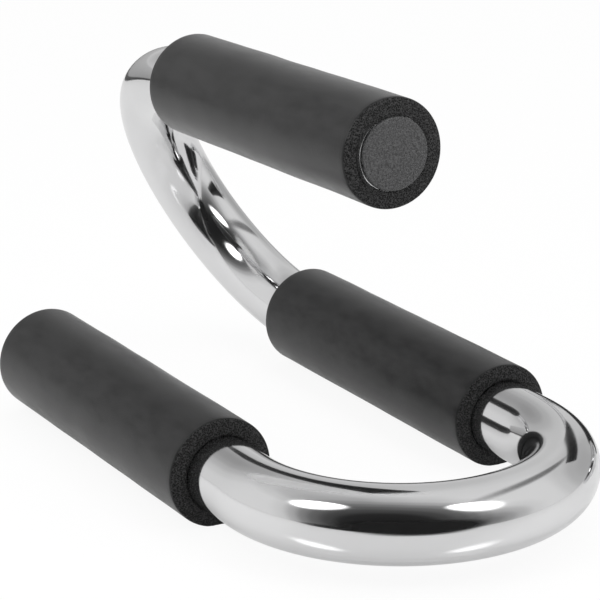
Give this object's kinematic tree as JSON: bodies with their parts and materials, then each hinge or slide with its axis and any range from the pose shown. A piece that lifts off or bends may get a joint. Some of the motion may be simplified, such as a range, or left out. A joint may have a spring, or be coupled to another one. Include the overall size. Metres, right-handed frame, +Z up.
{
  "type": "push-up bar",
  "caption": "Low push-up bar bent from a single chromed tube, with a raised handle over U-shaped floor feet, dark foam sleeves and plastic end plugs.",
  "frame": {"origin": "on the floor, in the middle of the bar's outline seen from above", "axes": "+X from the outer foot to the inner foot, +Y along the runs towards the arch at the rear, +Z up"},
  "size_m": [0.1414, 0.2794, 0.1369],
  "materials": {
    "chromed_steel": "bright chrome plating on bent steel tube",
    "foam": "matte closed-cell foam with a fine skin and open cells on the cut ends",
    "plug_plastic": "finely grained black moulded plastic"
  },
  "bodies": {
    "root": {"bent_tube": "chromed_steel", "handle_grip": "foam", "inner_foot_sleeve": "foam", "outer_foot_sleeve": "foam", "handle_end_plug": "plug_plastic", "foot_end_plug": "plug_plastic"}
  },
  "joints": []
}
